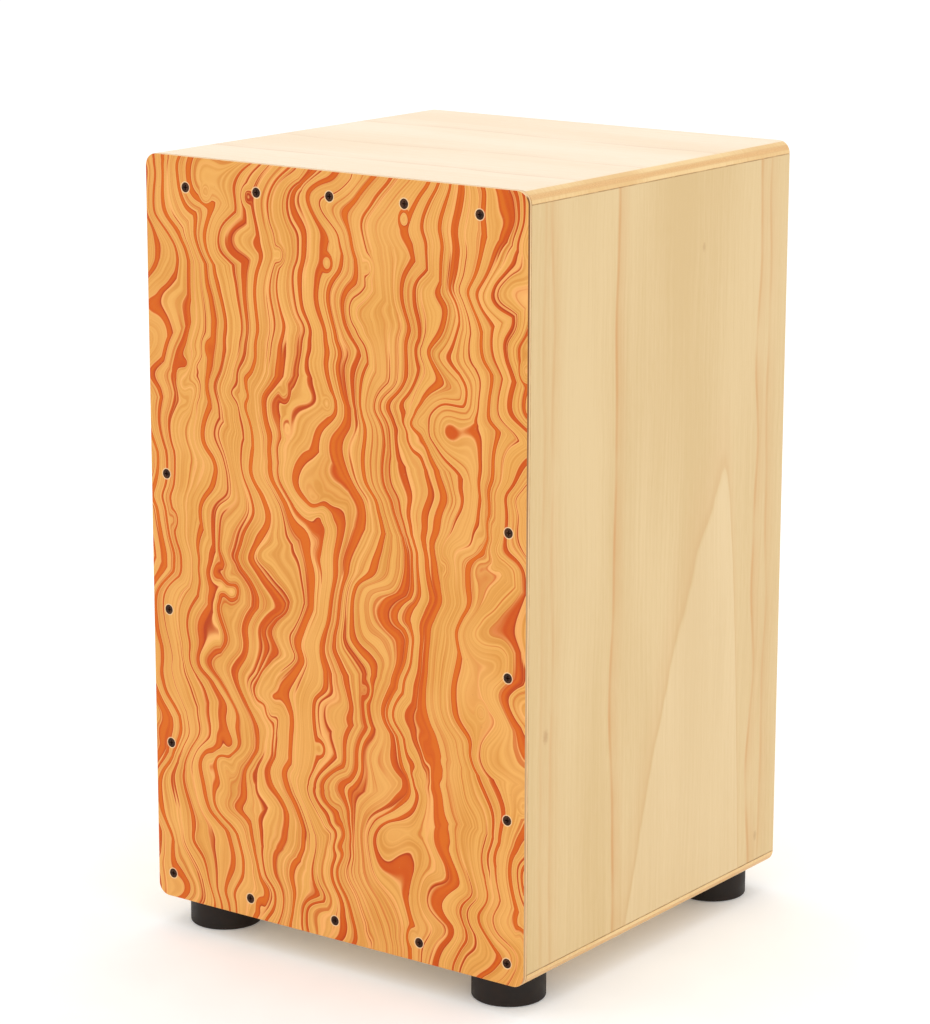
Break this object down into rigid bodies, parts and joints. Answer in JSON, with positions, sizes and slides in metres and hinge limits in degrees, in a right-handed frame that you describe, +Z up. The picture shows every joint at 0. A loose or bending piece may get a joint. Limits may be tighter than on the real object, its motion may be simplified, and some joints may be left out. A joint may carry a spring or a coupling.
{
  "type": "cajon",
  "caption": "Box drum to sit on and play by hand: plywood body, marbled burl striking plate, sound hole behind, rubber feet and tunable internal snares.",
  "frame": {"origin": "on the floor, under the middle of the box, at the level of the feet's soles", "axes": "+Z up towards the seat; the striking plate faces -Y and the sound hole +Y; +X is to the right seen from the front"},
  "size_m": [0.288, 0.289, 0.5],
  "materials": {
    "burl_veneer": "satin lacquer over an orange-brown marbled burl veneer",
    "birch_plywood": "clear satin lacquer over pale plywood",
    "pine_batten": "planed, unfinished",
    "beech_rail": "planed, unfinished",
    "black_screw": "black oxide",
    "black_bolt": "black oxide",
    "zinc_steel": "zinc plated",
    "bush_brass": "turned brass",
    "snare_wire": "bright coiled steel wire",
    "foot_rubber": "matt moulded rubber"
  },
  "bodies": {
    "box": {"anchor_screws": "zinc_steel", "back_batten_bottom": "pine_batten", "back_batten_left": "pine_batten", "back_batten_right": "pine_batten", "back_batten_top": "pine_batten", "back_panel": "birch_plywood", "bottom_panel": "birch_plywood", "corner_rail_bottom_left": "pine_batten", "corner_rail_bottom_right": "pine_batten", "corner_rail_top_left": "pine_batten", "corner_rail_top_right": "pine_batten", "foot_front_left": "foot_rubber", "foot_front_right": "foot_rubber", "foot_rear_left": "foot_rubber", "foot_rear_right": "foot_rubber", "foot_screws": "zinc_steel", "foot_washers": "zinc_steel", "front_batten_bottom": "pine_batten", "front_batten_left": "pine_batten", "front_batten_right": "pine_batten", "front_batten_top": "pine_batten", "guide_pin_left": "zinc_steel", "guide_pin_right": "zinc_steel", "left_side_panel": "birch_plywood", "plate_screws_bottom": "black_screw", "plate_screws_left": "black_screw", "plate_screws_right": "black_screw", "plate_screws_top": "black_screw", "right_side_panel": "birch_plywood", "seat_panel": "birch_plywood", "snare_anchor_left": "zinc_steel", "snare_anchor_right": "zinc_steel", "snare_strands_left": "snare_wire", "snare_strands_right": "snare_wire", "striking_plate": "burl_veneer", "tuner_bush_left": "bush_brass", "tuner_bush_right": "bush_brass", "tuner_rail": "beech_rail"},
    "tuner_left": {"tuner_bolt_left": "black_bolt", "lock_nut_left": "zinc_steel"},
    "tuner_right": {"tuner_bolt_right": "black_bolt", "lock_nut_right": "zinc_steel"},
    "carriage_left": {"snare_carriage_left": "zinc_steel"},
    "carriage_right": {"snare_carriage_right": "zinc_steel"}
  },
  "joints": [
    {"name": "carriage_slide_left", "type": "slide", "parent": "box", "child": "carriage_left", "axis": [0, 0, 1], "range_m": [-0.006, 0.005], "deforming": ["snare_strands_left"]},
    {"name": "tuner_turn_left", "type": "hinge", "parent": "box", "child": "tuner_left", "pos_m": [-0.048, -0.112, 0.047], "axis": [0, 0, 1], "range_deg": [-1801, 2161]},
    {"name": "carriage_slide_right", "type": "slide", "parent": "box", "child": "carriage_right", "axis": [0, 0, 1], "range_m": [-0.006, 0.005], "deforming": ["snare_strands_right"]},
    {"name": "tuner_turn_right", "type": "hinge", "parent": "box", "child": "tuner_right", "pos_m": [0.048, -0.112, 0.047], "axis": [0, 0, 1], "range_deg": [-1801, 2161]}
  ],
  "couplings": [
    {"joint": "tuner_turn_left", "follows": "carriage_slide_left", "rad_per_m": -6283.2},
    {"joint": "tuner_turn_right", "follows": "carriage_slide_right", "rad_per_m": -6283.2}
  ]
}
